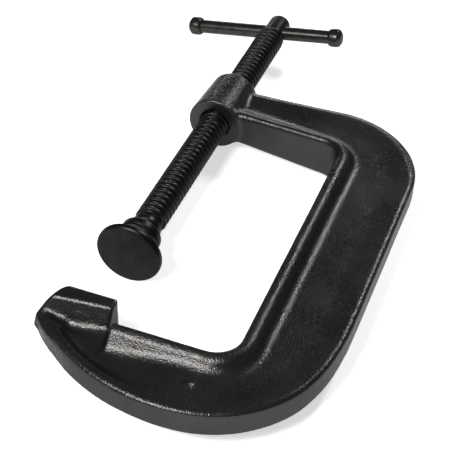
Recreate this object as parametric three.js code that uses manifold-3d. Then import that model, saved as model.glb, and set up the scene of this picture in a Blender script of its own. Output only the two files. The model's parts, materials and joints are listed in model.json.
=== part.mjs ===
// A six-inch C clamp: a drop-forged steel C frame with a tapped boss, a screw with a ball end,
// a swivel pad crimped round the ball, and a sliding T-bar kept in by a cap pressed on each end.
//
// Millimetres. The clamp lies on its side: +Z is normal to the plane of the C, the screw's axis
// is the Y axis, +Y runs from the anvil to the boss, +X runs from the screw to the spine, and
// the origin is the middle of the anvil's face.
import * as THREE from "three";
import { mergeVertices } from "three/addons/utils/BufferGeometryUtils.js";
import Module from "manifold-3d";

// ---- Driving dimensions ------------------------------------------------------------------

// The C, seen along Z.
const THROAT = 83; // screw's axis to the inner edge of the spine
const SPINE_BACK = 129.9; // screw's axis to the outer edge of the spine
const LOWER_ARM_TOP = -13.2; // inner edge of the lower arm
const LOWER_ARM_BOTTOM = -51.2; // lowest point of the lower arm's hull-shaped outer edge
const UPPER_ARM_BOTTOM = 172.9; // inner edge of the upper arm, at the corner
const UPPER_ARM_RISE = 4.5; // rise of that edge from the corner to the boss
const UPPER_ARM_TOP = 210.3; // outer edge of the upper arm
const INNER_CORNER = 14; // radius of both inner corners
const OUTER_CORNER = 52.8; // radius of the upper outer corner
const UPPER_ARM_DROP = 3; // fall of the upper arm's outer edge from its corner to the boss

// Where the curves of the lower arm's outer edge meet, as [x, y].
const NOSE_SIDE = [-22.6, -12];
const CHIN = [3, -36.6];
const HULL_MIDDLE = [56, LOWER_ARM_BOTTOM];
const HEEL = [80, -48.2];
const HEEL_BACK = [122.2, -11.8];
const SPINE_FOOT = [SPINE_BACK, 40];

// The T-shaped section: a wide flange round the inside of the C on a thick web.
const FLANGE_HALF = 13.4; // half the flange's width, along Z
const FLANGE_HALF_AT_BOSS = 9.6; // the flange narrows a little towards the boss
const CREST_RADIUS = 2.5; // rounding of the flange's inner edges
const CREST_WIDTH = 4; // flat crest of the flange, across the section
const FLANGE_FOOT = 10.5; // inner edge to where the flange's slope reaches the web
const WEB_HALF = 6.8; // half the web's thickness
const RIM_HALF = 7.9; // half the thickness of the low rim round the outer edge
const RIM_FLAT = 1.5; // flat top of the rim, across the section
const RIM_ROUND = 2.6; // rounding of the rim's outer edges
const NOSE_ROUND = 7; // the same at the nose, which is rounded off all over
const RIM_FOOT = 9; // outer edge to where the rim runs out into the web

// The anvil and its nose.
const ANVIL_END = 15.5; // screw's axis to the end face of the anvil
const ANVIL_HALF = 15.2; // half the anvil's width, along Z
const ANVIL_DEPTH = 8.4; // full-width part of the anvil, down from its face
const NOSE_CROWN_START = -3; // the face is flat from here to the end face
const NOSE_FULLEST = -7.6; // height at which the nose reaches furthest out
const ANVIL_ROOT = [-3, -6]; // where the C's inner edge starts, inside the anvil

// The boss, its tapped bore and the screw's thread.
const BOSS_BOTTOM = 177;
const BOSS_TOP = 214.5;
const BOSS_RADIUS = 16.4; // at the lower face
const BOSS_TOP_RADIUS = 14.8;
const BOSS_ROUND = 3; // rounding of the upper face's edge
const BOSS_CHAMFER = 1.2; // chamfer of the lower face's edge
const COUNTERSINK = 0.8;
const THREAD_RADIUS = 9; // crest of the screw's thread
const THREAD_ROOT = 7.1;
const PITCH = 25.4 / 6; // six threads to the inch
const BORE_GAP = 0.35; // crest of the thread to the bore

// The screw, with the pad's face OPENING above the anvil.
const OPENING = 47.2;
const BALL_CENTRE = OPENING + 12.6;
const BALL_RADIUS = 6.8;
const NECK_RADIUS = 4.4;
const SHOULDER_RADIUS = 8.6;
const SHOULDER_LENGTH = 3.4; // plain shoulder between the neck and the thread
const THREAD_START = OPENING + 27.6;
const THREAD_END = 285;
const HEAD_RADIUS = 7.4;
const BAR_HEIGHT = 290.7; // axis of the T-bar
const SCREW_TOP = 305;
const DOME_DEPTH = 4.5;
const SCREW_TURN = 8.9; // degrees, by which the screw's cross hole leans from X towards Z

// The swivel pad.
const PAD_RADIUS = 18.6;
const PAD_THICKNESS = 5;
const COLLAR_RADIUS = 11.4;
const COLLAR_TOP = OPENING + 20;
const SOCKET_GAP = 0.35;

// The T-bar and its end caps.
const BAR_RADIUS = 4.5;
const BAR_HOLE_RADIUS = 4.85;
const BAR_REACH = 55; // middle of the bar to the outside of a cap
const BAR_SLIDE = -7.2; // how far the bar's middle lies from the screw's axis
const CAP_RADIUS = 6.2;
const CAP_LENGTH = 9;
const CAP_ROUND = 2.4;
const CAP_DEPTH = 6.4; // depth of the cap's blind bore
const PRESS_GAP = 0.3; // clearance left between a cap and the bar

const ROUND_STEPS = 28; // sides of a turned part
const OVERSHOOT = 1; // how far a cutter runs past the face that it opens

// ---- Materials ---------------------------------------------------------------------------

const forgedBlack = new THREE.MeshStandardMaterial({
  color: 0x242527,
  roughness: 0.45,
  metalness: 0.75,
});
const oxideBlack = new THREE.MeshStandardMaterial({
  color: 0x1b1c1e,
  roughness: 0.35,
  metalness: 0.85,
});

// ---- Solids ------------------------------------------------------------------------------

const wasm = await Module();
wasm.setup();

function toSolid(geometry) {
  const bare = geometry.clone();
  bare.deleteAttribute("normal");
  bare.deleteAttribute("uv");
  const merged = mergeVertices(bare, 1e-4);
  return new wasm.Manifold(
    new wasm.Mesh({
      numProp: 3,
      vertProperties: merged.attributes.position.array,
      triVerts: new Uint32Array(merged.index.array),
    }),
  );
}

function toMesh(name, solid, material) {
  const { numProp, vertProperties, triVerts, numVert } = solid.getMesh();
  const positions = new Float32Array(numVert * 3);
  for (let i = 0; i < numVert; i++) {
    positions.set(vertProperties.subarray(i * numProp, i * numProp + 3), i * 3);
  }
  const geometry = new THREE.BufferGeometry();
  geometry.setAttribute("position", new THREE.BufferAttribute(positions, 3));
  geometry.setIndex(new THREE.BufferAttribute(triVerts, 1));
  geometry.computeVertexNormals();
  const mesh = new THREE.Mesh(geometry, material);
  mesh.name = name;
  return mesh;
}

// A solid of revolution about the Y axis, from [radius, height] pairs that start and end on it.
function turned(profile, steps = ROUND_STEPS) {
  const points = profile.map(([radius, height]) => new THREE.Vector2(radius, height));
  return toSolid(new THREE.LatheGeometry(points, steps));
}

// Points of a circular arc as [radius, height] pairs, with angles in degrees from the +radius axis.
function arc(centreRadius, centreHeight, radius, from, to, steps) {
  return Array.from({ length: steps + 1 }, (_, i) => {
    const angle = THREE.MathUtils.degToRad(from + ((to - from) * i) / steps);
    return [centreRadius + radius * Math.cos(angle), centreHeight + radius * Math.sin(angle)];
  });
}

// A closed skin over rings of equal length. The flat forms of the first and last ring are
// triangulated to close the two ends.
function loft(rings, firstOutline, lastOutline) {
  const count = rings[0].length;
  const index = [];
  for (let r = 0; r + 1 < rings.length; r++) {
    for (let i = 0; i < count; i++) {
      const a = r * count + i;
      const b = r * count + ((i + 1) % count);
      index.push(a, b, b + count, a, b + count, a + count);
    }
  }
  const lastStart = (rings.length - 1) * count;
  for (const [a, b, c] of THREE.ShapeUtils.triangulateShape(firstOutline, [])) {
    index.push(a, c, b);
  }
  for (const [a, b, c] of THREE.ShapeUtils.triangulateShape(lastOutline, [])) {
    index.push(lastStart + a, lastStart + b, lastStart + c);
  }
  const geometry = new THREE.BufferGeometry();
  const positions = rings.flat().flatMap((p) => [p.x, p.y, p.z]);
  geometry.setAttribute("position", new THREE.Float32BufferAttribute(positions, 3));
  geometry.setIndex(index);
  return toSolid(geometry);
}

// ---- Frame -------------------------------------------------------------------------------

const point = (x, y) => new THREE.Vector2(x, y);
const line = (from, to) => new THREE.LineCurve(from, to);
const bezier = (...points) => new THREE.CubicBezierCurve(...points);

// The inner and the outer edge of the C in matching stretches, from the nose to the boss.
function edgeStretches() {
  const lowerCornerX = THROAT - INNER_CORNER;
  const innerCorner = (centreY, from, to) =>
    new THREE.EllipseCurve(
      lowerCornerX, centreY, INNER_CORNER, INNER_CORNER, from, to, false,
    );
  const outerCorner = new THREE.EllipseCurve(
    SPINE_BACK - OUTER_CORNER, UPPER_ARM_TOP - OUTER_CORNER,
    OUTER_CORNER, OUTER_CORNER, 0, Math.PI / 2, false,
  );
  const lowerCentre = LOWER_ARM_TOP + INNER_CORNER;
  const upperCentre = UPPER_ARM_BOTTOM - INNER_CORNER;
  const noseSide = point(...NOSE_SIDE);
  const chin = point(...CHIN);
  const hullMiddle = point(...HULL_MIDDLE);
  const heel = point(...HEEL);
  const heelBack = point(...HEEL_BACK);
  const spineFoot = point(...SPINE_FOOT);
  const armStart = point(0.8 * ANVIL_END, LOWER_ARM_TOP);
  const riseAtBoss = UPPER_ARM_RISE * (lowerCornerX / (lowerCornerX - BOSS_RADIUS));
  return [
    {
      // the nose, inside the anvil block
      inner: line(point(...ANVIL_ROOT), armStart),
      outer: bezier(noseSide, point(-21, -21), point(-10, -30), chin),
      round: (t) => THREE.MathUtils.lerp(NOSE_ROUND, RIM_ROUND, THREE.MathUtils.smoothstep(t, 0.1, 1)),
      steps: 7,
    },
    {
      inner: line(armStart, point(hullMiddle.x, LOWER_ARM_TOP)),
      outer: bezier(chin, point(19, -46), point(37, LOWER_ARM_BOTTOM), hullMiddle),
      steps: 8,
    },
    {
      inner: line(point(hullMiddle.x, LOWER_ARM_TOP), point(lowerCornerX, LOWER_ARM_TOP)),
      outer: bezier(hullMiddle, point(64, LOWER_ARM_BOTTOM), point(72.5, -50.5), heel),
      steps: 3,
    },
    {
      inner: innerCorner(lowerCentre, -Math.PI / 2, 0),
      outer: bezier(heel, point(98.5, -43.2), point(115.2, -28.2), heelBack),
      steps: 7,
    },
    {
      inner: line(point(THROAT, lowerCentre), point(THROAT, spineFoot.y)),
      outer: bezier(heelBack, point(128.2, 2.4), point(SPINE_BACK, 18), spineFoot),
      steps: 5,
    },
    {
      inner: line(point(THROAT, spineFoot.y), point(THROAT, upperCentre)),
      outer: line(spineFoot, point(SPINE_BACK, UPPER_ARM_TOP - OUTER_CORNER)),
      steps: 4,
    },
    {
      inner: innerCorner(upperCentre, 0, Math.PI / 2),
      outer: outerCorner,
      steps: 9,
    },
    {
      inner: line(point(lowerCornerX, UPPER_ARM_BOTTOM), point(0, UPPER_ARM_BOTTOM + riseAtBoss)),
      outer: line(
        point(SPINE_BACK - OUTER_CORNER, UPPER_ARM_TOP),
        point(0, UPPER_ARM_TOP - UPPER_ARM_DROP),
      ),
      steps: 6,
    },
  ];
}

// One half of the section as [distance from the inner edge, height above the middle plane].
function halfSection(width, flangeHalf, round) {
  const drop = Math.min(round, RIM_HALF - 1);
  const flangeFoot = Math.min(FLANGE_FOOT, 0.45 * width);
  return [
    [0, flangeHalf - CREST_RADIUS],
    [CREST_RADIUS * 0.3, flangeHalf - CREST_RADIUS * 0.3],
    [CREST_RADIUS, flangeHalf],
    [CREST_WIDTH, flangeHalf - 0.4],
    [flangeFoot - 2, WEB_HALF + 0.9],
    [flangeFoot, WEB_HALF],
    [width - RIM_FOOT, WEB_HALF],
    [width - round - RIM_FLAT, RIM_HALF],
    [width - round, RIM_HALF],
    [width - round * 0.3, RIM_HALF - drop * 0.3],
    [width, RIM_HALF - drop],
  ];
}

// The whole section as points whose x is the height and whose y is the distance across.
function sectionOutline(width, flangeHalf, round) {
  const front = halfSection(width, flangeHalf, round).map(([across, height]) => point(height, across));
  const back = front.map((p) => point(-p.x, p.y)).reverse();
  return [...front, ...back];
}

function cBody() {
  const rings = [];
  const outlines = [];
  const sharp = () => RIM_ROUND;
  for (const [number, { inner, outer, steps, round = sharp }] of edgeStretches().entries()) {
    for (let i = number === 0 ? 0 : 1; i <= steps; i++) {
      const from = inner.getPoint(i / steps);
      const to = outer.getPoint(i / steps);
      const towardsBoss = THREE.MathUtils.smoothstep(from.y, 0, UPPER_ARM_BOTTOM) *
        THREE.MathUtils.smoothstep(THROAT - from.x, 0, THROAT);
      const flangeHalf = THREE.MathUtils.lerp(FLANGE_HALF, FLANGE_HALF_AT_BOSS, towardsBoss);
      const outline = sectionOutline(from.distanceTo(to), flangeHalf, round(i / steps));
      const across = to.clone().sub(from).normalize();
      outlines.push(outline);
      rings.push(
        outline.map((p) => new THREE.Vector3(from.x + across.x * p.y, from.y + across.y * p.y, p.x)),
      );
    }
  }
  return loft(rings, outlines[0], outlines.at(-1));
}

// The anvil's outline at one height: flat face, end face, underside and a bulging nose.
function anvilOutline(noseX, bottomY, endX) {
  const nose = bezier(
    point(NOSE_CROWN_START, 0),
    point(noseX * 0.66, NOSE_FULLEST * 0.05),
    point(noseX, NOSE_FULLEST * 0.46),
    point(noseX, NOSE_FULLEST),
  );
  const chin = line(point(noseX, NOSE_FULLEST), point(noseX * 0.72, bottomY));
  return [point(endX, bottomY), point(endX, 0), ...nose.getPoints(7), ...chin.getPoints(2).slice(1)];
}

function anvilBody() {
  const slices = [
    { z: -ANVIL_HALF, noseX: -15.5, bottomY: -ANVIL_DEPTH, endX: ANVIL_END - 0.8 },
    { z: -ANVIL_HALF + 1.2, noseX: -16.8, bottomY: -ANVIL_DEPTH - 0.8, endX: ANVIL_END },
    { z: -RIM_HALF, noseX: -19.5, bottomY: -15.5, endX: ANVIL_END },
    { z: -3, noseX: -22.4, bottomY: -20.5, endX: ANVIL_END },
  ];
  const mirrored = slices.map((slice) => ({ ...slice, z: -slice.z })).reverse();
  const all = [...slices, ...mirrored];
  const outlines = all.map(({ noseX, bottomY, endX }) => anvilOutline(noseX, bottomY, endX));
  const rings = outlines.map((outline, i) => outline.map((p) => new THREE.Vector3(p.x, p.y, all[i].z)));
  return loft(rings, outlines[0], outlines.at(-1));
}

function bossBody() {
  return turned([
    [0, BOSS_BOTTOM],
    [BOSS_RADIUS - BOSS_CHAMFER, BOSS_BOTTOM],
    [BOSS_RADIUS, BOSS_BOTTOM + BOSS_CHAMFER],
    ...arc(BOSS_TOP_RADIUS - BOSS_ROUND, BOSS_TOP - BOSS_ROUND, BOSS_ROUND, 0, 90, 3),
    [0, BOSS_TOP],
  ]);
}

// The tapped bore, cleared to just over the crest of the screw's thread and lightly countersunk.
function boreCutter() {
  const radius = THREAD_RADIUS + BORE_GAP;
  const mouth = radius + COUNTERSINK;
  return turned([
    [0, BOSS_BOTTOM - BOSS_RADIUS / 2],
    [mouth, BOSS_BOTTOM - BOSS_RADIUS / 2],
    [mouth, BOSS_BOTTOM],
    [radius, BOSS_BOTTOM + COUNTERSINK],
    [radius, BOSS_TOP - COUNTERSINK],
    [mouth, BOSS_TOP],
    [mouth, BOSS_TOP + OVERSHOOT],
    [0, BOSS_TOP + OVERSHOOT],
  ]);
}

function frame() {
  const solid = cBody().add(anvilBody()).add(bossBody()).subtract(boreCutter());
  return toMesh("frame", solid, forgedBlack);
}

// ---- Screw -------------------------------------------------------------------------------

// A right-hand trapezoidal thread with a solid core. Each turn is a strip of four helical lines:
// the two edges of the root and the two edges of the crest.
function threadedRod(start, end) {
  const columns = 10;
  const lines = [
    { radius: THREAD_ROOT, along: 0 },
    { radius: THREAD_ROOT, along: 0.34 },
    { radius: THREAD_RADIUS, along: 0.5 },
    { radius: THREAD_RADIUS, along: 0.84 },
  ];
  const steps = columns * (Math.ceil((end - start) / PITCH) + 1);
  const positions = [];
  for (const { radius, along } of lines) {
    for (let m = 0; m <= steps; m++) {
      const angle = (m / columns) * 2 * Math.PI;
      const height = start + (m / columns + along - 1) * PITCH;
      positions.push(radius * Math.sin(angle), height, radius * Math.cos(angle));
    }
  }
  const at = (lineNumber, m) => lineNumber * (steps + 1) + m;
  const index = [];
  const quad = (a, b, c, d) => index.push(a, b, c, a, c, d);
  for (let m = 0; m < steps; m++) {
    for (let k = 0; k < 3; k++) quad(at(k, m), at(k, m + 1), at(k + 1, m + 1), at(k + 1, m));
    if (m + columns < steps) {
      quad(at(3, m), at(3, m + 1), at(0, m + 1 + columns), at(0, m + columns));
    }
  }
  const firstTurn = Array.from({ length: columns + 1 }, (_, m) => at(0, m));
  const lastTurn = Array.from({ length: columns + 1 }, (_, m) => at(3, steps - columns + m));
  const bottom = positions.length / 3;
  positions.push(0, start - PITCH, 0);
  const top = bottom + 1;
  positions.push(0, positions[3 * at(3, steps) + 1], 0);
  const fan = (loop, hub) => loop.forEach((v, i) => index.push(hub, loop[(i + 1) % loop.length], v));
  fan([...firstTurn, at(3, 0), at(2, 0), at(1, 0)], bottom);
  fan([...lastTurn, at(2, steps), at(1, steps), at(0, steps)].reverse(), top);
  const geometry = new THREE.BufferGeometry();
  geometry.setAttribute("position", new THREE.Float32BufferAttribute(positions, 3));
  geometry.setIndex(index);
  const runOut = THREAD_RADIUS - THREAD_ROOT;
  const envelope = turned([
    [0, start],
    [THREAD_ROOT, start],
    [THREAD_RADIUS + 1, start + runOut + 1],
    [THREAD_RADIUS + 1, end - runOut - 1],
    [THREAD_ROOT, end],
    [0, end],
  ]);
  return toSolid(geometry).intersect(envelope);
}

function crossHole(radius) {
  const hole = new THREE.CylinderGeometry(radius, radius, 4 * THREAD_RADIUS, 24);
  hole.rotateZ(Math.PI / 2);
  hole.rotateY(-THREE.MathUtils.degToRad(SCREW_TURN));
  hole.translate(0, BAR_HEIGHT, 0);
  return toSolid(hole);
}

// A quarter of an ellipse, from the foot of a dome to its top.
function domeProfile(radius, top, depth) {
  const steps = 4;
  return Array.from({ length: steps + 1 }, (_, i) => {
    const angle = (Math.PI / 2) * (i / steps);
    return [radius * Math.cos(angle), top - depth + depth * Math.sin(angle)];
  });
}

function screw() {
  const overlap = 1;
  const ballEnd = turned([
    ...arc(0, BALL_CENTRE, BALL_RADIUS, -90, 48, 9),
    [NECK_RADIUS, BALL_CENTRE + 7.6],
    [NECK_RADIUS, COLLAR_TOP + 0.6],
    [SHOULDER_RADIUS, THREAD_START - SHOULDER_LENGTH],
    [SHOULDER_RADIUS, THREAD_START - SHOULDER_RADIUS + THREAD_ROOT],
    [THREAD_ROOT, THREAD_START],
    [THREAD_ROOT, THREAD_START + overlap],
    [0, THREAD_START + overlap],
  ]);
  const head = turned([
    [0, THREAD_END - overlap],
    [THREAD_ROOT, THREAD_END - overlap],
    [THREAD_ROOT, THREAD_END - 0.4],
    [HEAD_RADIUS, THREAD_END + 0.6],
    ...domeProfile(HEAD_RADIUS, SCREW_TOP, DOME_DEPTH),
  ]);
  const solid = threadedRod(THREAD_START, THREAD_END)
    .add(ballEnd)
    .add(head)
    .subtract(crossHole(BAR_HOLE_RADIUS));
  return toMesh("screw", solid, oxideBlack);
}

// ---- Swivel pad --------------------------------------------------------------------------

function swivelPad() {
  const rimTop = OPENING + PAD_THICKNESS;
  const outside = turned([
    [0, OPENING],
    [PAD_RADIUS - 1.4, OPENING],
    [PAD_RADIUS, OPENING + 1.4],
    [PAD_RADIUS, rimTop - 1.6],
    [PAD_RADIUS - 1.6, rimTop],
    [COLLAR_RADIUS + 3.2, rimTop + 1],
    [COLLAR_RADIUS + 1.2, rimTop + 5],
    [COLLAR_RADIUS, rimTop + 8.6],
    [COLLAR_RADIUS, COLLAR_TOP - 2.4],
    [COLLAR_RADIUS - 1.2, COLLAR_TOP],
    [0, COLLAR_TOP],
  ]);
  const socketRadius = BALL_RADIUS + SOCKET_GAP;
  const socket = turned([
    ...arc(0, BALL_CENTRE, socketRadius, -90, 44, 9),
    [COLLAR_RADIUS - 2.8, COLLAR_TOP + OVERSHOOT],
    [0, COLLAR_TOP + OVERSHOOT],
  ]);
  return toMesh("swivel_pad", outside.subtract(socket), oxideBlack);
}

// ---- T-bar -------------------------------------------------------------------------------

function tBar() {
  const end = BAR_REACH - (CAP_LENGTH - CAP_DEPTH) - PRESS_GAP;
  const chamfer = 0.7;
  const solid = turned([
    [0, -end],
    [BAR_RADIUS - chamfer, -end],
    [BAR_RADIUS, -end + chamfer],
    [BAR_RADIUS, end - chamfer],
    [BAR_RADIUS - chamfer, end],
    [0, end],
  ], 24);
  return toMesh("t_bar", solid, oxideBlack);
}

// A barrel-shaped cap with a blind bore, on the +Y end of the turned bar.
function barCap(name) {
  const inner = BAR_REACH - CAP_LENGTH;
  const outside = turned([
    [0, inner],
    [BAR_RADIUS + PRESS_GAP + 0.5, inner],
    [CAP_RADIUS, inner + 1.6],
    ...arc(CAP_RADIUS - CAP_ROUND, BAR_REACH - CAP_ROUND, CAP_ROUND, 0, 90, 4),
    [0, BAR_REACH],
  ], 24);
  const bore = turned([
    [0, inner - OVERSHOOT],
    [BAR_RADIUS + PRESS_GAP, inner - OVERSHOOT],
    [BAR_RADIUS + PRESS_GAP, inner + CAP_DEPTH],
    [0, inner + CAP_DEPTH],
  ], 24);
  return toMesh(name, outside.subtract(bore), oxideBlack);
}

// The bar and its caps, modelled upright, are laid along X and then leant to the cross hole.
function barAssembly() {
  const bar = new THREE.Group();
  const spineSideCap = barCap("bar_cap_spine_side");
  const freeSideCap = barCap("bar_cap_free_side");
  freeSideCap.rotation.z = Math.PI;
  bar.add(tBar(), spineSideCap, freeSideCap);
  bar.rotation.z = -Math.PI / 2;
  bar.position.x = BAR_SLIDE;
  const leaning = new THREE.Group();
  leaning.add(bar);
  leaning.rotation.y = -THREE.MathUtils.degToRad(SCREW_TURN);
  leaning.position.y = BAR_HEIGHT;
  return leaning;
}

const clamp = new THREE.Group();
clamp.name = "c_clamp";
clamp.add(frame(), screw(), swivelPad(), barAssembly());

export default clamp;
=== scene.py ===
"""The looks of the C clamp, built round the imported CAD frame.

Every CAD node is replaced by one finer piece. The forging is polygonised from a signed distance field,
so that its fillets and rounded edges run into each other as on a real forging. The screw, pad, bar and
caps are turned shapes. Some dimensions are a later fit than the CAD's and differ from it by up to about
6 mm. Dimensions are in millimetres, in the part's own frame: +Y up the screw, +X to the spine, +Z out of
the plane of the C.
"""
import json
import math

import bpy
import numpy as np
from mathutils import Matrix, Vector, noise


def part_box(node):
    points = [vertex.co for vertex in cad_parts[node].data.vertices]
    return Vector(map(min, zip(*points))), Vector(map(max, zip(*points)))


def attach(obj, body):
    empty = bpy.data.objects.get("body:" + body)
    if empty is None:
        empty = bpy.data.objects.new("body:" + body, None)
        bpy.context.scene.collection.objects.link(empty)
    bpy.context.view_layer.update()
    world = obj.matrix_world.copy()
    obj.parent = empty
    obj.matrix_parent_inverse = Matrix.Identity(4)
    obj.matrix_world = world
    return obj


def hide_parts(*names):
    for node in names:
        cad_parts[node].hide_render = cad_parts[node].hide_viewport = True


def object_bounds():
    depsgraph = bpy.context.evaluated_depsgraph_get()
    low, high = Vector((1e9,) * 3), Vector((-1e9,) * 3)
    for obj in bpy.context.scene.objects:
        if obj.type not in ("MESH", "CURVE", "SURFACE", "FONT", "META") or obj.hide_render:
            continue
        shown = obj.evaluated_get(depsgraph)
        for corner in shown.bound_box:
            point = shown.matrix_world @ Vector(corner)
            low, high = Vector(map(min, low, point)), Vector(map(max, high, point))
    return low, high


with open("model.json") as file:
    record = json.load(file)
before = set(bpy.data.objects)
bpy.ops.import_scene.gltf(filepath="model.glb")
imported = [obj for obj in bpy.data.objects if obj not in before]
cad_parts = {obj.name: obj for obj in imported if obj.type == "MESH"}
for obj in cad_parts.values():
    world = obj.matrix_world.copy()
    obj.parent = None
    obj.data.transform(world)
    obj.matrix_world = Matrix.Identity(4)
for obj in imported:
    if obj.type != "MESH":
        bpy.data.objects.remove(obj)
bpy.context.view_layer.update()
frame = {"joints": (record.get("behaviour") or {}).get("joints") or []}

MM = 0.001


def cad_box(node):
    """Lowest and highest corner of a CAD node, in millimetres."""
    low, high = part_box(node)
    return np.array(low) / MM, np.array(high) / MM


FRAME_LOW, FRAME_HIGH = cad_box("frame")
SCREW_TOP = cad_box("screw")[1][1]
PAD_LOW, PAD_HIGH = cad_box("swivel_pad")
JOINTS = {joint["name"]: joint for joint in frame["joints"]}

# ---- Dimensions --------------------------------------------------------------------------

# The C, seen along Z.
THROAT = 82.7  # screw's axis to the inner edge of the spine
SPINE_BACK = 129.9
LOWER_ARM_TOP = -12.9
LOWER_ARM_BOTTOM = FRAME_LOW[1]
UPPER_ARM_BOTTOM = 171.3  # underside of the upper arm, at the corner
UPPER_ARM_RISE = 6.0  # rise of the underside from the corner to the boss
UPPER_ARM_TOP = 211.5
UPPER_ARM_DROP = 3.0  # fall of the upper arm's top towards the boss
INNER_CORNER = 14.0
OUTER_CORNER = 56.0

# Where the curves of its outer edge meet, as (x, y).
NOSE_START = (-20.0, -9.0)
NOSE_SIDE = (-21.6, -15.5)
CHIN = (3.0, -36.6)
HULL_MIDDLE = (56.0, LOWER_ARM_BOTTOM)
HEEL = (80.0, -48.2)
HEEL_BACK = (121.5, -11.8)
SPINE_FOOT = (SPINE_BACK, 46.0)

# Its flange, which is on the inner edge.
FLANGE_HALF = 13.4
FLANGE_HALF_AT_BOSS = 11.0
FLANGE_FOOT = 10.5  # inner edge to the foot of the flange's slope
FLANGE_FILLET = 3.5
SLOPE_ROUND = 2.2
CREST_WIDTH = 4.2
SPINE_CREST_WIDTH = 6.0
SPINE_CREST_RUN = 12.0  # the crest widens over this distance before the spine
CREST_ROUND = 2.2
TOP_CREST_ROUND = 3.4

# Its web, and the pocket that deepens the web beside the anvil.
WEB_HALF = 6.8
WEB_ROUND = 1.5
POCKET_DEPTH = 2.9
POCKET_END = 60.0
POCKET_RUN = 45.0
POCKET_NOSE_SHARE = 0.45  # share of the depth that is left under the nose
POCKET_NOSE_STEP = (-8.0, -3.0)

# Its rim, which is on the outer edge.
RIM_HALF = 7.9
RIM_WIDTH = 5.0
RIM_SLOPE_RUN = 5.0
RIM_SLOPE_ROUND = 1.0
RIM_ROUND = 1.4
RIM_CHAMFER = 1.7
RIM_CHAMFER_ROUND = 1.2
RIM_FILLET = 1.5
TOP_RIM_WIDTH = 8.0
TOP_RIM_ROUND = 6.0
NOSE_ROUND = 7.0

# Where one section turns into the next.
TOP_STEP = (-30.0, 10.0)  # in Y, from the upper arm's underside
NOSE_STEP = (-8.0, 12.0)  # in X, leaning with Y
NOSE_STEP_LEAN = 0.3
UNDER_ANVIL_STEP = (-1.0, 4.0)  # in X, from the anvil's end

PIP = (67.0, -32.5)
PIP_HEIGHT = 0.8
PIP_RADIUS = 5.0
PIP_FILLET = 0.5

# Anvil and nose.
ANVIL_END = 16.5
ANVIL_HALF = 15.5
ANVIL_DEPTH = 8.2
ANVIL_WALL_SLOPE = 59.0
ANVIL_WALL_TURN = 0.1  # the wall's foot moves by this much for each millimetre along X
ANVIL_EDGE_ROUND = 1.2
ANVIL_WALL_ROUND = 1.6
ANVIL_END_ROUND = 1.4
ANVIL_FILLET = 3.0
NOSE_TOP = -10.0
NOSE_BULGE = 5.4  # how far the nose stands out at the anvil's sides
NOSE_LEAN = 7.0  # and how much further in the middle
NOSE_DROP = 13.0
NOSE_EDGE_ROUND = 1.5
NOSE_FIELD_SCALE = 0.8  # keeps the leaning nose's field near a true distance

# Boss and bore.
BOSS_BOTTOM = 177.0
BOSS_TOP = 214.5
BOSS_RADIUS = 16.8
BOSS_TOP_RADIUS = 14.8
BOSS_BOTTOM_ROUND = 1.0
BOSS_TOP_ROUND = 3.2
BOSS_FILLET = 3.0
BORE_RADIUS = 9.35
COUNTERSINK = 0.4

# The forging's relief, as (size of the waves, their height, offset into the noise).
RELIEF = (
    (17.0, 0.12, (0, 0, 0)),
    (6.5, 0.06, (31, 7, 3)),
    (2.1, 0.045, (5, 53, 11)),
)

# Screw.
THREAD_RADIUS = 9.0
THREAD_ROOT = 7.1
PITCH = 25.4 / 6
PAD_FACE = PAD_LOW[1]
BALL_CENTRE = PAD_FACE + 12.6
BALL_RADIUS = 6.8
NECK_RADIUS = 4.4
SHOULDER_RADIUS = 8.6
SHOULDER_LENGTH = 4.4
THREAD_START = PAD_FACE + 27.6
THREAD_END = 285.0
THREAD_FADE_IN = 3.2
THREAD_FADE_OUT = 3.0
HEAD_RADIUS = 7.4
DOME_DEPTH = 4.5

# Pad.
PAD_RADIUS = PAD_HIGH[0] + 0.3
PAD_RIM_TOP = PAD_FACE + 5
COLLAR_RADIUS = 11.9
COLLAR_TOP = PAD_FACE + 20
SOCKET_RADIUS = BALL_RADIUS + 0.35
SOCKET_LIP = 44  # degrees above the ball's middle where the socket ends

# Bar and caps.
BAR_RADIUS = 4.5
BAR_HOLE_RADIUS = 4.85
BAR_HEIGHT = 290.7
BAR_REACH = 55.0
BAR_SLIDE = -7.2
BAR_AXIS = Vector(JOINTS["bar_slide"]["axis"])
CAP_RADIUS = 6.2
CAP_LENGTH = 9.0
CAP_DEPTH = 6.4
CAP_GAP = 0.3

# Camera, in metres and degrees. It is the lowest-cost one of several close fits to the photo.
CAMERA_PLACE = (0.21228, -0.40805, 0.45740)
CAMERA_AZIMUTH = 19.08
CAMERA_ELEVATION = 40.90
CAMERA_ROLL = 2.60
CAMERA_LENS = 100.27
CLAMP_MIDDLE = (0.05, 0.11, 0)  # what the lights point at

# ---- Meshes ------------------------------------------------------------------------------


def make_object(name, vertices, faces, material):
    """A smooth-shaded object from millimetre vertices."""
    mesh = bpy.data.meshes.new(name)
    mesh.from_pydata((np.asarray(vertices) * MM).tolist(), [], [tuple(face) for face in faces])
    mesh.update()
    mesh.polygons.foreach_set("use_smooth", [True] * len(mesh.polygons))
    mesh.materials.append(material)
    obj = bpy.data.objects.new(name, mesh)
    bpy.context.scene.collection.objects.link(obj)
    return obj


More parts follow.
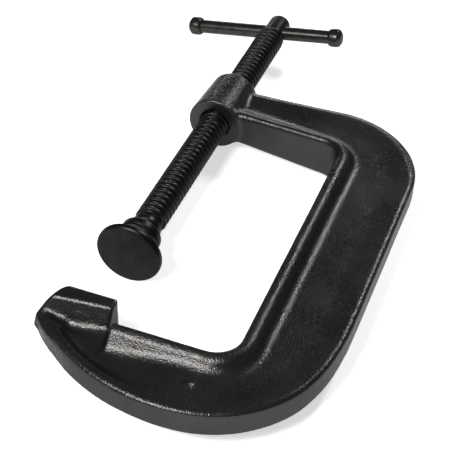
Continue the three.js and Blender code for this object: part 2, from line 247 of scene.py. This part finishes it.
def rounded(corners, steps=5):
    """A polyline from (x, y, radius) corners, each rounded to its radius by an arc."""
    points = [np.array(corner[:2], float) for corner in corners]
    path = [points[0]]
    for i in range(1, len(corners) - 1):
        radius = corners[i][2] if len(corners[i]) > 2 else 0.0
        before = points[i - 1] - points[i]
        after = points[i + 1] - points[i]
        before_length = np.linalg.norm(before)
        after_length = np.linalg.norm(after)
        before /= before_length
        after /= after_length
        half = math.acos(max(-1.0, min(1.0, float(before @ after)))) / 2
        if radius <= 0 or half > math.radians(89):
            path.append(points[i])
            continue
        reach = min(radius / math.tan(half), 0.49 * before_length, 0.49 * after_length)
        radius = reach * math.tan(half)
        middle = (before + after) / np.linalg.norm(before + after)
        centre = points[i] + middle * radius / math.sin(half)
        start = points[i] + before * reach - centre
        end = points[i] + after * reach - centre
        turn = math.atan2(start[0] * end[1] - start[1] * end[0], float(start @ end))
        for k in range(steps + 1):
            angle = turn * k / steps
            c, s = math.cos(angle), math.sin(angle)
            path.append(centre + np.array([c * start[0] - s * start[1], s * start[0] + c * start[1]]))
    path.append(points[-1])
    return path


def refined(path, longest):
    """The polyline with extra points so that no step is longer than the given length."""
    fine = [path[0]]
    for a, b in zip(path, path[1:]):
        count = max(1, math.ceil(np.linalg.norm(np.asarray(b) - np.asarray(a)) / longest))
        for k in range(1, count + 1):
            fine.append(np.asarray(a) + (np.asarray(b) - np.asarray(a)) * k / count)
    return fine


def turned_grid(heights, radius_at, columns):
    """Vertices and faces of a solid about the Y axis whose first and last rows are on the axis.

    radius_at(row, angles) gives the radius of each vertex in a row.
    """
    angles = np.arange(columns) * 2 * math.pi / columns
    vertices = [(0.0, heights[0], 0.0)]
    for row in range(1, len(heights) - 1):
        radius = radius_at(row, angles)
        ring = np.column_stack([
            radius * np.sin(angles), np.full(columns, heights[row]), radius * np.cos(angles),
        ])
        vertices.extend(map(tuple, ring))
    top = len(vertices)
    vertices.append((0.0, heights[-1], 0.0))
    faces = []
    for c in range(columns):
        n = (c + 1) % columns
        faces.append((0, 1 + n, 1 + c))
        last = top - columns
        faces.append((top, last + c, last + n))
        for row in range(len(heights) - 3):
            a = 1 + row * columns
            b = a + columns
            faces.append((a + c, a + n, b + n, b + c))
    return vertices, faces


def turned(name, profile, columns, material):
    """A solid of revolution about Y from a profile of (radius, height) points ending on the axis."""
    radii = [point[0] for point in profile]
    heights = [point[1] for point in profile]

    def radius_at(row, angles):
        return np.full(len(angles), radii[row])

    vertices, faces = turned_grid(heights, radius_at, columns)
    return make_object(name, vertices, faces, material)


# ---- The forging as a distance field -----------------------------------------------------


def mixed(start, end, share):
    """The value at a share of the way from start to end."""
    return start + (end - start) * share


def bezier(a, b, c, d, steps):
    """Points along a cubic curve from a to d with b and c as its controls."""
    t = np.linspace(0, 1, steps + 1)[:, None]
    a, b, c, d = (np.array(p, float) for p in (a, b, c, d))
    return a * (1 - t) ** 3 + 3 * b * t * (1 - t) ** 2 + 3 * c * t ** 2 * (1 - t) + d * t ** 3


def arc(centre, radius, start, end, steps):
    """Points along an arc, with its two angles in degrees."""
    angle = np.radians(np.linspace(start, end, steps + 1))[:, None]
    return np.array(centre) + radius * np.hstack([np.cos(angle), np.sin(angle)])


def inner_edge():
    """Inner edge of the C, from inside the anvil round to the boss."""
    corner_x = THROAT - INNER_CORNER
    low_y = LOWER_ARM_TOP + INNER_CORNER
    high_y = UPPER_ARM_BOTTOM - INNER_CORNER
    rise = UPPER_ARM_RISE * corner_x / (corner_x - BOSS_RADIUS)
    return np.vstack([
        [(-3, -6), (12, LOWER_ARM_TOP)],
        arc((corner_x, low_y), INNER_CORNER, -90, 0, 12),
        arc((corner_x, high_y), INNER_CORNER, 0, 90, 12),
        [(0, UPPER_ARM_BOTTOM + rise)],
    ])


def outer_edge():
    """Outer edge of the C, from the nose round to the boss."""
    corner = (SPINE_BACK - OUTER_CORNER, UPPER_ARM_TOP - OUTER_CORNER)
    return np.vstack([
        [NOSE_START],
        bezier(NOSE_SIDE, (-20.9, -21.5), (-8.2, -28.6), CHIN, 10),
        bezier(CHIN, (19, -46), (37, LOWER_ARM_BOTTOM), HULL_MIDDLE, 12)[1:],
        bezier(HULL_MIDDLE, (64, LOWER_ARM_BOTTOM), (72.5, -50.5), HEEL, 6)[1:],
        bezier(HEEL, (98.5, -43.2), (115.2, -28.2), HEEL_BACK, 12)[1:],
        bezier(HEEL_BACK, (127.4, 2.2), (SPINE_BACK, 18), SPINE_FOOT, 8)[1:],
        arc(corner, OUTER_CORNER, 0, 90, 24),
        [(0, UPPER_ARM_TOP - UPPER_ARM_DROP)],
    ])


INNER_EDGE = inner_edge()
OUTER_EDGE = outer_edge()
C_OUTLINE = np.vstack([INNER_EDGE, OUTER_EDGE[::-1]])


def distance_to(path, x, y):
    """Distance from each point to a polyline."""
    best = np.full(np.broadcast(x, y).shape, np.inf)
    for (ax, ay), (bx, by) in zip(path, path[1:]):
        dx, dy = bx - ax, by - ay
        t = np.clip(((x - ax) * dx + (y - ay) * dy) / (dx * dx + dy * dy), 0, 1)
        best = np.minimum(best, (x - ax - t * dx) ** 2 + (y - ay - t * dy) ** 2)
    return np.sqrt(best)


def is_inside(outline, x, y):
    """Whether each point is inside a closed outline, by counting the edges to its right."""
    inside = np.zeros(np.broadcast(x, y).shape, bool)
    for (ax, ay), (bx, by) in zip(outline, np.roll(outline, -1, axis=0)):
        if ay == by:
            continue
        crosses = (ay > y) != (by > y)
        inside ^= crosses & (x < ax + (y - ay) * (bx - ax) / (by - ay))
    return inside


def smoothstep(value, low, high):
    """0 up to low, 1 from high on, and a smooth rise between them."""
    t = np.clip((value - low) / (high - low), 0, 1)
    return t * t * (3 - 2 * t)


def both(a, b, radius):
    """Intersection of two fields with the shared edge rounded to a radius."""
    pa, pb = np.maximum(a + radius, 0), np.maximum(b + radius, 0)
    return np.minimum(np.maximum(a, b) + radius, 0) + np.hypot(pa, pb) - radius


def joined(a, b, blend):
    """Union of two fields with a fillet about as wide as blend."""
    h = np.maximum(blend - np.abs(a - b), 0) / blend
    return np.minimum(a, b) - h * h * blend / 4


def c_field(x, y, az):
    """The C's T section, swept round between its two edges."""
    from_inner = distance_to(INNER_EDGE, x, y)
    from_outer = distance_to(OUTER_EDGE, x, y)
    inside = is_inside(C_OUTLINE, x, y)
    near_inner = from_inner < from_outer
    inward = np.where(inside | ~near_inner, from_inner, -from_inner)
    outward = np.where(inside | near_inner, from_outer, -from_outer)
    towards_boss = smoothstep(y, 0, UPPER_ARM_BOTTOM) * smoothstep(THROAT - x, 0, THROAT)
    on_top = smoothstep(y, UPPER_ARM_BOTTOM + TOP_STEP[0], UPPER_ARM_BOTTOM + TOP_STEP[1])
    under_anvil = (1 - smoothstep(x - ANVIL_END, *UNDER_ANVIL_STEP)) * (y < 0)

    from_nose = mixed(POCKET_NOSE_SHARE, 1, smoothstep(x, *POCKET_NOSE_STEP))
    pocket = smoothstep(POCKET_END - x, 0, POCKET_RUN) * from_nose * (y < 0)
    web_half = WEB_HALF - POCKET_DEPTH * pocket
    web = both(az - web_half, -np.minimum(inward, outward), WEB_ROUND)

    # The flange's slope is set by its full width, and then its crest sinks into the web under the anvil.
    flange_half = mixed(FLANGE_HALF, FLANGE_HALF_AT_BOSS, towards_boss)
    crest_width = mixed(CREST_WIDTH, SPINE_CREST_WIDTH, smoothstep(x, THROAT - SPINE_CREST_RUN, THROAT))
    slope = np.arctan2(flange_half - WEB_HALF, FLANGE_FOOT - crest_width)
    flange_half = mixed(flange_half, web_half, under_anvil)
    flange_slope = (az - flange_half) * np.cos(slope) + (inward - crest_width) * np.sin(slope)
    crest_round = mixed(CREST_ROUND, TOP_CREST_ROUND, on_top)
    flange = both(both(az - flange_half, -inward, crest_round), flange_slope, SLOPE_ROUND)

    rim_round = mixed(NOSE_ROUND, RIM_ROUND, smoothstep(x - NOSE_STEP_LEAN * y, *NOSE_STEP))
    rim_round = mixed(rim_round, TOP_RIM_ROUND, on_top)
    rim_width = mixed(RIM_WIDTH, TOP_RIM_WIDTH, on_top)
    slope = np.arctan2(RIM_HALF - web_half, RIM_SLOPE_RUN)
    rim_slope = (az - RIM_HALF) * np.cos(slope) + (outward - rim_width) * np.sin(slope)
    chamfer = (az - RIM_HALF - outward + RIM_CHAMFER * (1 - on_top)) * math.sqrt(0.5)
    rim = both(both(az - RIM_HALF, -outward, rim_round), chamfer, RIM_CHAMFER_ROUND)
    rim = both(rim, rim_slope, RIM_SLOPE_ROUND)

    section = joined(joined(web, flange, FLANGE_FILLET), rim, RIM_FILLET)
    return np.where(inside, section, np.maximum(section, np.minimum(from_inner, from_outer) - 0.01))


def anvil_field(x, y, az):
    """The anvil block: flat face and end, walls that slope out to the web, and a crowned nose."""
    slope = math.radians(ANVIL_WALL_SLOPE)
    past_foot = ANVIL_WALL_TURN * x - ANVIL_DEPTH - y
    wall = (az - ANVIL_HALF) * math.cos(slope) + past_foot * math.sin(slope)
    block = both(y, az - ANVIL_HALF, ANVIL_EDGE_ROUND)
    block = both(block, wall, ANVIL_WALL_ROUND)
    block = both(block, x - ANVIL_END, ANVIL_END_ROUND)
    down = 1 - np.clip((y + NOSE_DROP) / NOSE_DROP, 0, 1) ** 2
    lean = NOSE_LEAN * (1 - (az / ANVIL_HALF) ** 2)
    nose_side = NOSE_TOP - np.sqrt(down) * (NOSE_BULGE + lean)
    return both(block, (nose_side - x) * NOSE_FIELD_SCALE, NOSE_EDGE_ROUND)


def boss_field(x, y, az):
    """The round boss, tapered towards its top."""
    t = np.clip((y - BOSS_BOTTOM) / (BOSS_TOP - BOSS_BOTTOM), 0, 1)
    radius = BOSS_RADIUS + (BOSS_TOP_RADIUS - BOSS_RADIUS) * t
    side = np.hypot(x, az) - radius
    return both(both(side, BOSS_BOTTOM - y, BOSS_BOTTOM_ROUND), y - BOSS_TOP, BOSS_TOP_ROUND)


def bore_field(x, y, az):
    """Positive outside the bore, which is countersunk at both ends."""
    end = np.minimum(np.abs(y - BOSS_BOTTOM), np.abs(BOSS_TOP - y))
    return np.hypot(x, az) - BORE_RADIUS - np.maximum(COUNTERSINK - end, 0)


def pip_field(x, y, z):
    """A plain low dome on one side of the web, in place of the maker's forged-in mark."""
    centre_z = z - WEB_HALF + PIP_RADIUS - PIP_HEIGHT
    return np.sqrt((x - PIP[0]) ** 2 + (y - PIP[1]) ** 2 + centre_z ** 2) - PIP_RADIUS


def forging_field(x, y, z):
    """The whole forging: negative inside, positive outside and in the bore."""
    az = np.abs(z)
    body = joined(c_field(x, y, az), anvil_field(x, y, az), ANVIL_FILLET)
    body = joined(body, boss_field(x, y, az), BOSS_FILLET)
    body = joined(body, pip_field(x, y, z), PIP_FILLET)
    return np.where(y > LOWER_ARM_TOP + THROAT, np.maximum(body, -bore_field(x, y, az)), body)


def surface_nets(field, low, step):
    """Quads on the zero surface of a sampled field, one vertex in each cell that it crosses."""
    inside = field < 0
    cells = tuple(n - 1 for n in field.shape)
    total = np.zeros(cells + (3,), np.float32)
    count = np.zeros(cells, np.float32)
    crossings = []
    for axis in range(3):
        near = [slice(None)] * 3
        far = [slice(None)] * 3
        near[axis], far[axis] = slice(None, -1), slice(1, None)
        f0, f1 = field[tuple(near)], field[tuple(far)]
        crossed = inside[tuple(near)] != inside[tuple(far)]
        crossings.append((axis, crossed, inside[tuple(near)]))
        fraction = np.where(crossed, f0 / np.where(crossed, f0 - f1, 1), 0)
        others = [a for a in range(3) if a != axis]
        for da in (0, 1):
            for db in (0, 1):
                part = [slice(None)] * 3
                part[others[0]] = slice(da, da + cells[others[0]])
                part[others[1]] = slice(db, db + cells[others[1]])
                hit = crossed[tuple(part)]
                count += hit
                total[..., axis] += np.where(hit, fraction[tuple(part)], 0)
                total[..., others[0]] += hit * da
                total[..., others[1]] += hit * db
    active = np.argwhere(count > 0)
    number = np.full(cells, -1, np.int64)
    number[tuple(active.T)] = np.arange(len(active))
    offset = total[tuple(active.T)] / count[tuple(active.T)][:, None]
    vertices = np.array(low) + (active + offset) * step
    faces = []
    for axis, crossed, start_inside in crossings:
        b, c = (axis + 1) % 3, (axis + 2) % 3
        at = np.argwhere(crossed)
        at = at[(at[:, b] > 0) & (at[:, c] > 0) & (at[:, b] < cells[b]) & (at[:, c] < cells[c])]
        ring = []
        for db, dc in ((-1, -1), (0, -1), (0, 0), (-1, 0)):
            cell = at.copy()
            cell[:, b] += db
            cell[:, c] += dc
            ring.append(number[tuple(cell.T)])
        quads = np.stack(ring, axis=1)
        outward = start_inside[tuple(at.T)]
        quads[~outward] = quads[~outward][:, ::-1]
        faces.append(quads)
    return vertices, np.vstack(faces)


def field_gradient(points):
    """Gradient of the forging's field at each point, by central differences."""
    reach = 0.05
    columns = []
    for axis in range(3):
        shift = np.zeros(3)
        shift[axis] = reach
        ahead = forging_field(*(points + shift).T)
        behind = forging_field(*(points - shift).T)
        columns.append((ahead - behind) / (2 * reach))
    return np.stack(columns, axis=1)


def forging_mesh():
    """Vertices, faces and outward normals of the forging."""
    step = 0.8
    margin = 3 * step
    low = FRAME_LOW - margin
    high = FRAME_HIGH + margin
    x, y, z = (np.arange(low[a], high[a] + step, step) for a in range(3))
    field = forging_field(x[:, None, None], y[None, :, None], z[None, None, :]).astype(np.float32)
    vertices, faces = surface_nets(field, low, step)
    for _ in range(2):
        gradient = field_gradient(vertices)
        value = forging_field(*vertices.T)
        move = value[:, None] * gradient / np.maximum((gradient ** 2).sum(1), 0.3)[:, None]
        vertices -= np.clip(move, -0.5 * step, 0.5 * step)
    normals = field_gradient(vertices)
    normals /= np.linalg.norm(normals, axis=1)[:, None]
    return vertices, faces, normals


def forged_relief(vertices, normals):
    """Shallow waves and pits left by the dies and the scale, as a height in millimetres."""
    height = np.empty(len(vertices))
    for i, point in enumerate(vertices):
        place = Vector(point)
        height[i] = sum(noise.noise(place / size + Vector(offset)) * depth for size, depth, offset in RELIEF)
    bore_wall = np.hypot(vertices[:, 0], vertices[:, 2]) < BORE_RADIUS + 1.5
    anvil_face = (np.abs(vertices[:, 1]) < 0.4) & (vertices[:, 0] < ANVIL_END)
    height[bore_wall | anvil_face] = 0
    return vertices + normals * height[:, None]


def build_frame(material):
    """The forging, with its relief."""
    vertices, faces, normals = forging_mesh()
    vertices = forged_relief(vertices, normals)
    return make_object("forged_frame", vertices, faces, material)


# ---- Turned pieces -----------------------------------------------------------------------


def thread_form(phase):
    """Height of the thread from root (0) to crest (1) for a phase of one pitch."""
    phase = phase % 1.0
    rise = smoothstep(phase, 0.30, 0.50)
    fall = 1 - smoothstep(phase, 0.80, 1.0)
    return rise * fall


def screw_profile():
    """The screw's outline below the thread and above it, as (radius, height) points."""
    ball = [
        (BALL_RADIUS * math.sin(a), BALL_CENTRE - BALL_RADIUS * math.cos(a))
        for a in np.radians(np.linspace(0, 138, 19))
    ]
    shank = rounded([
        ball[-1],
        (NECK_RADIUS, BALL_CENTRE + 7.6, 1.0),
        (NECK_RADIUS, PAD_FACE + 20.6, 0.8),
        (SHOULDER_RADIUS, THREAD_START - SHOULDER_LENGTH, 0.8),
        (SHOULDER_RADIUS, THREAD_START - 1.2, 0.6),
        (THREAD_ROOT, THREAD_START),
    ])
    head = rounded([
        (THREAD_ROOT, THREAD_END),
        (HEAD_RADIUS, THREAD_END + 0.8, 0.6),
        (HEAD_RADIUS, SCREW_TOP - DOME_DEPTH),
    ])
    dome = [
        (HEAD_RADIUS * math.cos(a), SCREW_TOP - DOME_DEPTH + DOME_DEPTH * math.sin(a))
        for a in np.radians(np.linspace(0, 90, 12))
    ]
    return ball + refined(shank[1:], 1.0), refined(head, 1.2) + dome[1:]


def build_screw(material):
    """The screw: turned rows, with the helix as the radius of the rows of the thread."""
    lower, upper = screw_profile()
    rows_per_pitch = 14
    step = PITCH / rows_per_pitch
    thread_rows = np.arange(THREAD_START + step, THREAD_END - 0.5 * step, step)
    heights = [p[1] for p in lower] + list(thread_rows) + [p[1] for p in upper]
    radii = [p[0] for p in lower] + [THREAD_ROOT] * len(thread_rows) + [p[0] for p in upper]
    first, last = len(lower), len(lower) + len(thread_rows)

    def radius_at(row, angles):
        radius = np.full(len(angles), radii[row])
        if first <= row < last:
            y = heights[row]
            fade_in = smoothstep(y, THREAD_START, THREAD_START + THREAD_FADE_IN)
            fade_out = 1 - smoothstep(y, THREAD_END - THREAD_FADE_OUT, THREAD_END)
            depth = (THREAD_RADIUS - THREAD_ROOT) * (fade_in * fade_out)
            radius += depth * thread_form(y / PITCH - angles / (2 * math.pi))
        return radius

    vertices, faces = turned_grid(heights, radius_at, 64)
    screw = make_object("screw_spindle", vertices, faces, material)
    cut_cross_hole(screw)
    return screw


def cut_cross_hole(screw):
    """Cuts the T-bar's hole, lightly rounded at both mouths."""
    mouth = HEAD_RADIUS
    half = [
        (0, 0),
        (BAR_HOLE_RADIUS, 0),
        (BAR_HOLE_RADIUS, mouth - 1.6, 1.2),
        (BAR_HOLE_RADIUS + 1.6, mouth + 0.8),
        (BAR_HOLE_RADIUS + 1.6, mouth + 6),
        (0, mouth + 6),
    ]
    upper = rounded(half)[1:]
    lower = [(p[0], -p[1]) for p in upper][::-1]
    cutter = turned("hole_cutter", lower[:-1] + upper, 48, screw.data.materials[0])
    cutter.matrix_world = bar_matrix(slide=0)
    modifier = screw.modifiers.new("cross_hole", "BOOLEAN")
    modifier.operation = "DIFFERENCE"
    modifier.solver = "EXACT"
    modifier.object = cutter
    apply_modifiers(screw)
    bpy.data.objects.remove(cutter)


def apply_modifiers(obj):
    """Replaces an object's mesh by what its modifiers make of it."""
    bpy.context.view_layer.update()
    evaluated = obj.evaluated_get(bpy.context.evaluated_depsgraph_get())
    mesh = bpy.data.meshes.new_from_object(evaluated)
    mesh.name = obj.data.name
    obj.modifiers.clear()
    obj.data = mesh


def bar_matrix(slide=BAR_SLIDE):
    """Takes the Y axis of a turned piece to the T-bar's axis."""
    turn = Vector((0, 1, 0)).rotation_difference(BAR_AXIS).to_matrix().to_4x4()
    place = Matrix.Translation(Vector((0, BAR_HEIGHT, 0)) * MM + BAR_AXIS * slide * MM)
    return place @ turn


def bake_matrix(obj, matrix):
    """Moves an object's vertices and leaves its own transform alone."""
    obj.data.transform(matrix)
    obj.data.update()


def build_pad(material):
    """The pad, with its socket closed over the ball."""
    lip = math.radians(SOCKET_LIP)
    outside = rounded([
        (0, PAD_FACE),
        (PAD_RADIUS - 0.9, PAD_FACE, 0.8),
        (PAD_RADIUS, PAD_FACE + 1.1, 1.2),
        (PAD_RADIUS, PAD_RIM_TOP - 1.6, 1.0),
        (PAD_RADIUS - 1.6, PAD_RIM_TOP, 0.8),
        (COLLAR_RADIUS + 2.3, PAD_RIM_TOP + 0.9, 1.0),
        (COLLAR_RADIUS + 0.3, PAD_RIM_TOP + 5, 2.0),
        (COLLAR_RADIUS - 0.7, PAD_RIM_TOP + 8.6, 0.5),
        (COLLAR_RADIUS, PAD_RIM_TOP + 9.6, 0.3),
        (COLLAR_RADIUS, COLLAR_TOP - 1.6, 1.5),
        (COLLAR_RADIUS - 1.3, COLLAR_TOP + 0.2, 0.7),
        (COLLAR_RADIUS - 3.7, COLLAR_TOP - 0.1, 0.5),
        (SOCKET_RADIUS * math.cos(lip), BALL_CENTRE + SOCKET_RADIUS * math.sin(lip)),
    ])
    inside = [
        (SOCKET_RADIUS * math.cos(a), BALL_CENTRE + SOCKET_RADIUS * math.sin(a))
        for a in np.radians(np.linspace(SOCKET_LIP, -90, 16))
    ]
    inside[-1] = (0, BALL_CENTRE - SOCKET_RADIUS)
    return turned("pad_disc", refined(outside, 3.0) + inside[1:], 112, material)


def build_bar(material):
    """The plain rod, which ends just short of the bottoms of the caps."""
    end = BAR_REACH - (CAP_LENGTH - CAP_DEPTH) - CAP_GAP
    half = rounded([(BAR_RADIUS, 0), (BAR_RADIUS, end, 0.7), (0, end)])
    upper = refined(half, 3.0)
    lower = [(p[0], -p[1]) for p in upper][::-1]
    bar = turned("sliding_bar", lower[:-1] + upper, 56, material)
    bake_matrix(bar, bar_matrix())
    return bar


def build_cap(name, material, side):
    """One barrel-shaped cap on the bar's end: side is -1 or 1 along the bar."""
    inner = BAR_REACH - CAP_LENGTH
    bore = BAR_RADIUS + CAP_GAP
    profile = rounded([
        (0, inner + CAP_DEPTH),
        (bore, inner + CAP_DEPTH, 0.4),
        (bore, inner, 0.15),
        (bore + 0.45, inner, 0.3),
        (CAP_RADIUS - 0.1, inner + 1.5, 1.0),
        (CAP_RADIUS, inner + 4.5, 2.0),
        (CAP_RADIUS - 0.2, BAR_REACH - 2.2, 1.6),
        (CAP_RADIUS - 2.6, BAR_REACH - 0.15, 2.0),
        (0, BAR_REACH),
    ])
    if side < 0:
        profile = [(p[0], -p[1]) for p in profile][::-1]
    cap = turned(name, refined(profile, 1.5), 56, material)
    bake_matrix(cap, bar_matrix())
    return cap


# ---- Materials ---------------------------------------------------------------------------


class Nodes:
    """A material's node tree with short calls to add and join nodes."""

    def __init__(self, name):
        self.material = bpy.data.materials.new(name)
        self.material.use_nodes = True
        self.tree = self.material.node_tree
        self.shader = self.tree.nodes["Principled BSDF"]

    def add(self, kind, settings=None, **inputs):
        """A node with its settings, and its inputs given by name, or by number as i0, i1 and so on."""
        node = self.tree.nodes.new(kind)
        for key, value in (settings or {}).items():
            setattr(node, key, value)
        for key, value in inputs.items():
            self.set(node, key, value)
        return node

    def set(self, node, key, value):
        """Joins a socket to an input, or sets the input's constant."""
        by_number = key[0] == "i" and key[1:].isdigit()
        socket = node.inputs[int(key[1:])] if by_number else node.inputs[key]
        if isinstance(value, bpy.types.NodeSocket):
            self.tree.links.new(value, socket)
        else:
            socket.default_value = value

    def noise(self, vector, scale, detail=4.0, roughness=0.55):
        node = self.add(
            "ShaderNodeTexNoise", Vector=vector, Scale=scale, Detail=detail, Roughness=roughness)
        return node.outputs["Fac"]

    def ramp(self, factor, low, high, start=0.0, end=1.0):
        """Maps factor from low..high to start..end, clamped."""
        node = self.add("ShaderNodeMapRange", {"clamp": True}, i0=factor, i1=low, i2=high, i3=start, i4=end)
        return node.outputs["Result"]

    def math(self, operation, a, b):
        return self.add("ShaderNodeMath", {"operation": operation}, i0=a, i1=b).outputs["Value"]

    def blend(self, factor, a, b):
        node = self.add("ShaderNodeMix", {"data_type": "RGBA"}, i0=factor, i6=a, i7=b)
        return node.outputs[2]

    def bump(self, height, strength, distance, normal=None):
        node = self.add("ShaderNodeBump", Height=height, Strength=strength, Distance=distance)
        if normal is not None:
            self.set(node, "Normal", normal)
        return node.outputs["Normal"]


def grey(value, warm=0.0):
    """A grey colour, made a little warmer or cooler."""
    return (value * (1 + warm), value, value * (1 - warm), 1.0)


def forged_black():
    """Shot-blasted forging under a thin satin black finish: fine grain, soft pits, and convex edges lighter
    in colour, partly wear and partly a painted highlight.
    """
    n = Nodes("forged_black")
    place = n.add("ShaderNodeTexCoord").outputs["Object"]
    grain = n.noise(place, 1050.0, 2.0, 0.5)
    pits = n.noise(place, 560.0, 3.0, 0.6)
    patches = n.noise(place, 38.0, 3.0, 0.5)
    tint = n.blend(n.ramp(patches, 0.3, 0.7), grey(0.031, -0.02), grey(0.042, 0.04))
    # Convex edges, found by pointiness and broken up by the pits, get a lighter base colour: partly wear,
    # partly a painted highlight along the edges.
    edge_wear_and_sheen = n.ramp(n.add("ShaderNodeNewGeometry").outputs["Pointiness"], 0.53, 0.60)
    broken_edge_wear_and_sheen = n.math("MULTIPLY", edge_wear_and_sheen, n.ramp(pits, 0.35, 0.6, 0.3, 1.0))
    n.set(n.shader, "Base Color", n.blend(broken_edge_wear_and_sheen, tint, grey(0.11, 0.02)))
    satin = n.ramp(patches, 0.3, 0.7, 0.25, 0.30)
    n.set(n.shader, "Roughness", n.math("ADD", satin, n.ramp(pits, 0.4, 0.7, 0.0, 0.05)))
    fine = n.bump(grain, 0.7, 0.0003)
    n.set(n.shader, "Normal", n.bump(pits, 0.35, 0.0003, fine))
    n.shader.inputs["Metallic"].default_value = 0.85
    n.shader.inputs["Specular Tint"].default_value = grey(0.5)
    return n.material


def oxide_black(name, base, roughness, line_scale):
    """Black oxide on a turned or drawn surface, with fine marks along the cut."""
    n = Nodes(name)
    place = n.add("ShaderNodeTexCoord").outputs["Object"]
    stretched = n.add("ShaderNodeMapping", Vector=place)
    stretched.inputs["Scale"].default_value = line_scale
    marks = n.noise(stretched.outputs["Vector"], 1.0, 3.0, 0.6)
    mottle = n.noise(place, 160.0, 4.0, 0.6)
    grain = n.noise(place, 1500.0, 2.0, 0.5)
    tint = n.blend(n.ramp(mottle, 0.35, 0.7), grey(base, 0.02), grey(base * 1.8, 0.08))
    n.set(n.shader, "Base Color", tint)
    n.set(n.shader, "Roughness", n.ramp(marks, 0.3, 0.7, roughness - 0.04, roughness + 0.06))
    fine = n.bump(grain, 0.2, 0.0001)
    n.set(n.shader, "Normal", n.bump(marks, 0.2, 0.0002, fine))
    n.shader.inputs["Metallic"].default_value = 0.8
    n.shader.inputs["Specular Tint"].default_value = grey(0.5)
    return n.material


def floor_white():
    """The pale floor, which glows a little so that it stays white under soft light."""
    n = Nodes("floor_white")
    place = n.add("ShaderNodeTexCoord").outputs["Object"]
    soft = n.noise(place, 3.0, 2.0, 0.5)
    n.set(n.shader, "Base Color", n.blend(soft, grey(0.86), grey(0.90)))
    n.shader.inputs["Roughness"].default_value = 0.9
    n.shader.inputs["Specular IOR Level"].default_value = 0.1
    n.shader.inputs["Emission Color"].default_value = grey(1.0)
    n.shader.inputs["Emission Strength"].default_value = 0.6
    return n.material


# ---- Stage -------------------------------------------------------------------------------


def add_camera():
    """The camera by its place and its axes: azimuth and elevation of the view, and a slight roll."""
    azimuth, elevation, roll = map(math.radians, (CAMERA_AZIMUTH, CAMERA_ELEVATION, CAMERA_ROLL))
    back = Vector((
        math.sin(azimuth) * math.cos(elevation),
        -math.cos(azimuth) * math.cos(elevation),
        math.sin(elevation),
    ))
    right = Vector((math.cos(azimuth), math.sin(azimuth), 0))
    up = back.cross(right)
    level_right = right.copy()
    right = math.cos(roll) * level_right + math.sin(roll) * up
    up = -math.sin(roll) * level_right + math.cos(roll) * up
    camera = bpy.data.objects.new("camera", bpy.data.cameras.new("camera"))
    camera.data.lens = CAMERA_LENS
    camera.data.sensor_width = 36.0
    camera.data.clip_start = 0.01
    camera.matrix_world = Matrix((
        (right.x, up.x, back.x, CAMERA_PLACE[0]),
        (right.y, up.y, back.y, CAMERA_PLACE[1]),
        (right.z, up.z, back.z, CAMERA_PLACE[2]),
        (0, 0, 0, 1),
    ))
    bpy.context.scene.collection.objects.link(camera)
    bpy.context.scene.camera = camera


def add_light(name, direction, distance, size, power):
    """A soft box at a distance along a direction from the middle of the clamp, facing it."""
    middle = Vector(CLAMP_MIDDLE)
    away = Vector(direction).normalized()
    light = bpy.data.lights.new(name, "AREA")
    light.shape = "RECTANGLE"
    light.size, light.size_y = size
    light.energy = power
    obj = bpy.data.objects.new(name, light)
    obj.location = middle + away * distance
    obj.rotation_euler = away.to_track_quat("Z", "Y").to_euler()
    bpy.context.scene.collection.objects.link(obj)


def add_stage():
    """Floor, world and lights, and the plain view transform."""
    floor_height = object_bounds()[0][2]
    bpy.ops.mesh.primitive_grid_add(
        x_subdivisions=4, y_subdivisions=4, size=6.0, location=(0, 0, floor_height - 0.0002))
    floor = bpy.context.active_object
    floor.name = "floor"
    floor.data.materials.append(floor_white())
    world = bpy.data.worlds.new("studio")
    world.use_nodes = True
    background = world.node_tree.nodes["Background"]
    background.inputs["Color"].default_value = (0.9, 0.93, 1.0, 1)
    background.inputs["Strength"].default_value = 0.15
    bpy.context.scene.world = world
    add_light("key", (-0.25, -0.62, 0.74), 1.3, (0.5, 0.32), 20)
    add_light("back_right", (0.25, 0.70, 0.64), 1.3, (0.16, 0.22), 7)
    add_light("back_low", (-0.25, 0.96, 0.10), 1.5, (0.9, 0.10), 7)
    bpy.context.scene.view_settings.view_transform = "Standard"


# ---- Assembly ----------------------------------------------------------------------------


def show(piece, node, body):
    """Puts a piece in place of a CAD node, on a body."""
    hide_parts(node)
    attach(piece, body)


def main():
    """Builds every piece and the stage."""
    add_camera()
    forged = forged_black()
    screw_black = oxide_black("oxide_screw", 0.012, 0.34, (40.0, 900.0, 40.0))
    pad_black = oxide_black("oxide_pad", 0.008, 0.36, (60.0, 700.0, 60.0))
    bar_black = oxide_black("oxide_bar", 0.026, 0.28, (30.0, 800.0, 800.0))
    show(build_frame(forged), "frame", "frame")
    show(build_screw(screw_black), "screw", "screw")
    show(build_pad(pad_black), "swivel_pad", "swivel_pad")
    show(build_bar(bar_black), "t_bar", "t_bar")
    show(build_cap("cap_free_side", bar_black, -1), "bar_cap_free_side", "t_bar")
    show(build_cap("cap_spine_side", bar_black, 1), "bar_cap_spine_side", "t_bar")
    add_stage()


main()
